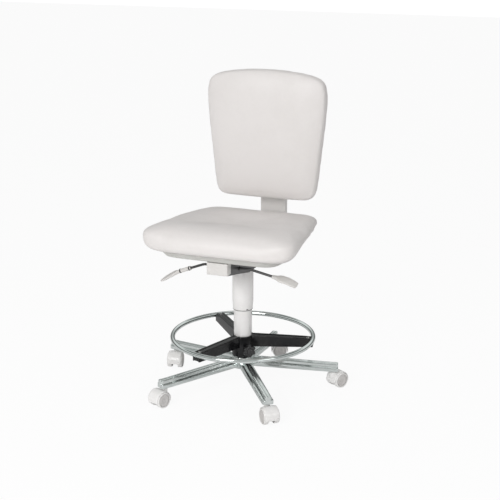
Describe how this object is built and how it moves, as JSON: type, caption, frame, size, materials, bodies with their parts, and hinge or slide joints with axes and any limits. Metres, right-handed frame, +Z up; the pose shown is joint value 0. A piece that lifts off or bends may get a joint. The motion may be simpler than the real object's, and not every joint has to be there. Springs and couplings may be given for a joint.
{
  "type": "drafting chair",
  "caption": "Height-adjustable drafting chair with padded seat and back, gas lift, sliding foot ring, chromed five-arm base and twin-wheel castors.",
  "frame": {"origin": "on the floor, on the column axis", "axes": "+Z up, -Y the way the sitter faces, +X the sitter's left"},
  "size_m": [0.6235, 0.6213, 1.0099],
  "materials": {
    "chrome": "polished",
    "steel": "satin",
    "dark_steel": "satin black",
    "black_paint": "gloss black",
    "white_plastic": "gloss white",
    "light_plastic": "satin light grey",
    "wheel_plastic": "satin off-white",
    "black_plastic": "satin black",
    "vinyl": "soft matt off-white vinyl",
    "plywood": "plain"
  },
  "bodies": {
    "base": {"base_hub": "chrome", "base_arm_1": "chrome", "base_arm_2": "chrome", "base_arm_3": "chrome", "base_arm_4": "chrome", "base_arm_5": "chrome", "castor_stems": "dark_steel", "stand_tube": "steel", "column_sleeve": "white_plastic", "guide_bush": "black_plastic", "thrust_bearing": "steel"},
    "lift_rod": {"piston_rod": "steel", "retaining_clip": "steel"},
    "seat": {"gas_cylinder": "dark_steel", "upper_cover": "white_plastic", "mechanism_housing": "dark_steel", "front_cap": "light_plastic", "pivot_pin": "steel", "seat_pan": "light_plastic", "seat_board": "plywood", "seat_cushion": "vinyl", "seat_bolts": "dark_steel"},
    "telescopic_stage": {"middle_cover": "white_plastic"},
    "release": {"release_pin": "steel"},
    "height_control": {"height_lever": "dark_steel", "height_paddle": "light_plastic"},
    "tilt_control": {"tilt_lever": "dark_steel", "tilt_paddle": "light_plastic"},
    "back_frame": {"back_arm": "dark_steel", "upright_cover": "light_plastic"},
    "backrest": {"back_carriage": "black_plastic", "back_board": "plywood", "back_shell": "light_plastic", "back_cushion": "vinyl", "back_screws": "dark_steel"},
    "ring": {"foot_ring": "chrome", "ring_spider": "black_paint", "ring_screws": "dark_steel"},
    "ring_clamp": {"clamp_screw": "steel"},
    "ring_knob": {"star_knob": "black_plastic"},
    "castor_1": {"castor_hood_1": "wheel_plastic", "castor_axle_1": "steel"},
    "castor_1_wheel_left": {"wheel_1_left": "wheel_plastic"},
    "castor_1_wheel_right": {"wheel_1_right": "wheel_plastic"},
    "castor_2": {"castor_hood_2": "wheel_plastic", "castor_axle_2": "steel"},
    "castor_2_wheel_left": {"wheel_2_left": "wheel_plastic"},
    "castor_2_wheel_right": {"wheel_2_right": "wheel_plastic"},
    "castor_3": {"castor_hood_3": "wheel_plastic", "castor_axle_3": "steel"},
    "castor_3_wheel_left": {"wheel_3_left": "wheel_plastic"},
    "castor_3_wheel_right": {"wheel_3_right": "wheel_plastic"},
    "castor_4": {"castor_hood_4": "wheel_plastic", "castor_axle_4": "steel"},
    "castor_4_wheel_left": {"wheel_4_left": "wheel_plastic"},
    "castor_4_wheel_right": {"wheel_4_right": "wheel_plastic"},
    "castor_5": {"castor_hood_5": "wheel_plastic", "castor_axle_5": "steel"},
    "castor_5_wheel_left": {"wheel_5_left": "wheel_plastic"},
    "castor_5_wheel_right": {"wheel_5_right": "wheel_plastic"}
  },
  "joints": [
    {"name": "seat_swivel", "type": "hinge", "parent": "base", "child": "lift_rod", "pos_m": [0, 0, 0], "axis": [0, 0, 1], "continuous": true},
    {"name": "seat_lift", "type": "slide", "parent": "lift_rod", "child": "seat", "axis": [0, 0, 1], "range_m": [0, 0.2]},
    {"name": "cover_lift", "type": "slide", "parent": "lift_rod", "child": "telescopic_stage", "axis": [0, 0, 1], "range_m": [0, 0.085]},
    {"name": "height_lever_lift", "type": "hinge", "parent": "seat", "child": "height_control", "pos_m": [0.026, -0.115, 0.434], "axis": [0, -1, 0], "range_deg": [0, 7], "stiffness_Nm_per_rad": 2, "springref_deg": -5.73},
    {"name": "release_press", "type": "slide", "parent": "seat", "child": "release", "axis": [0, 0, -1], "range_m": [0, 0.0041]},
    {"name": "tilt_lever_lift", "type": "hinge", "parent": "seat", "child": "tilt_control", "pos_m": [-0.026, -0.115, 0.434], "axis": [0, 1, 0], "range_deg": [0, 15], "stiffness_Nm_per_rad": 1, "springref_deg": -11.46},
    {"name": "back_tilt", "type": "hinge", "parent": "seat", "child": "back_frame", "pos_m": [0, 0.068, 0.424], "axis": [-1, 0, 0], "range_deg": [0, 18]},
    {"name": "back_height", "type": "slide", "parent": "back_frame", "child": "backrest", "axis": [0, 0, 1], "range_m": [0, 0.07]},
    {"name": "castor_1_swivel", "type": "hinge", "parent": "base", "child": "castor_1", "pos_m": [0.27676, 0.08992, 0], "axis": [0, 0, 1], "continuous": true},
    {"name": "castor_1_left_roll", "type": "hinge", "parent": "castor_1", "child": "castor_1_wheel_left", "pos_m": [0.28757, 0.10792, 0.025], "axis": [0.8572, -0.515, 0], "continuous": true},
    {"name": "castor_1_right_roll", "type": "hinge", "parent": "castor_1", "child": "castor_1_wheel_right", "pos_m": [0.28757, 0.10792, 0.025], "axis": [0.8572, -0.515, 0], "continuous": true},
    {"name": "castor_2_swivel", "type": "hinge", "parent": "base", "child": "castor_2", "pos_m": [0, 0.291, 0], "axis": [0, 0, 1], "continuous": true},
    {"name": "castor_2_left_roll", "type": "hinge", "parent": "castor_2", "child": "castor_2_wheel_left", "pos_m": [0.01947, 0.29887, 0.025], "axis": [0.3746, -0.9272, 0], "continuous": true},
    {"name": "castor_2_right_roll", "type": "hinge", "parent": "castor_2", "child": "castor_2_wheel_right", "pos_m": [0.01947, 0.29887, 0.025], "axis": [0.3746, -0.9272, 0], "continuous": true},
    {"name": "castor_3_swivel", "type": "hinge", "parent": "base", "child": "castor_3", "pos_m": [-0.27676, 0.08992, 0], "axis": [0, 0, 1], "continuous": true},
    {"name": "castor_3_left_roll", "type": "hinge", "parent": "castor_3", "child": "castor_3_wheel_left", "pos_m": [-0.27239, 0.06938, 0.025], "axis": [-0.9781, -0.2079, 0], "continuous": true},
    {"name": "castor_3_right_roll", "type": "hinge", "parent": "castor_3", "child": "castor_3_wheel_right", "pos_m": [-0.27239, 0.06938, 0.025], "axis": [-0.9781, -0.2079, 0], "continuous": true},
    {"name": "castor_4_swivel", "type": "hinge", "parent": "base", "child": "castor_4", "pos_m": [-0.17105, -0.23542, 0], "axis": [0, 0, 1], "continuous": true},
    {"name": "castor_4_left_roll", "type": "hinge", "parent": "castor_4", "child": "castor_4_wheel_left", "pos_m": [-0.17959, -0.25461, 0.025], "axis": [-0.9135, 0.4067, 0], "continuous": true},
    {"name": "castor_4_right_roll", "type": "hinge", "parent": "castor_4", "child": "castor_4_wheel_right", "pos_m": [-0.17959, -0.25461, 0.025], "axis": [-0.9135, 0.4067, 0], "continuous": true},
    {"name": "castor_5_swivel", "type": "hinge", "parent": "base", "child": "castor_5", "pos_m": [0.17105, -0.23542, 0], "axis": [0, 0, 1], "continuous": true},
    {"name": "castor_5_left_roll", "type": "hinge", "parent": "castor_5", "child": "castor_5_wheel_left", "pos_m": [0.1851, -0.25103, 0.025], "axis": [-0.7431, -0.6691, 0], "continuous": true},
    {"name": "castor_5_right_roll", "type": "hinge", "parent": "castor_5", "child": "castor_5_wheel_right", "pos_m": [0.1851, -0.25103, 0.025], "axis": [-0.7431, -0.6691, 0], "continuous": true},
    {"name": "ring_height", "type": "slide", "parent": "base", "child": "ring", "axis": [0, 0, 1], "range_m": [0, 0.08]},
    {"name": "clamp_release", "type": "slide", "parent": "ring", "child": "ring_clamp", "axis": [0.6691, -0.7431, 0], "range_m": [0, 0.003]},
    {"name": "knob_turn", "type": "hinge", "parent": "ring_clamp", "child": "ring_knob", "pos_m": [0, 0, 0.139], "axis": [0.6691, -0.7431, 0], "range_deg": [0, 720]}
  ],
  "couplings": [
    {"joint": "cover_lift", "follows": "seat_lift", "ratio": 0.425},
    {"joint": "release_press", "follows": "height_lever_lift", "m_per_rad": 0.033},
    {"joint": "clamp_release", "follows": "knob_turn", "m_per_rad": 0.0002387}
  ]
}
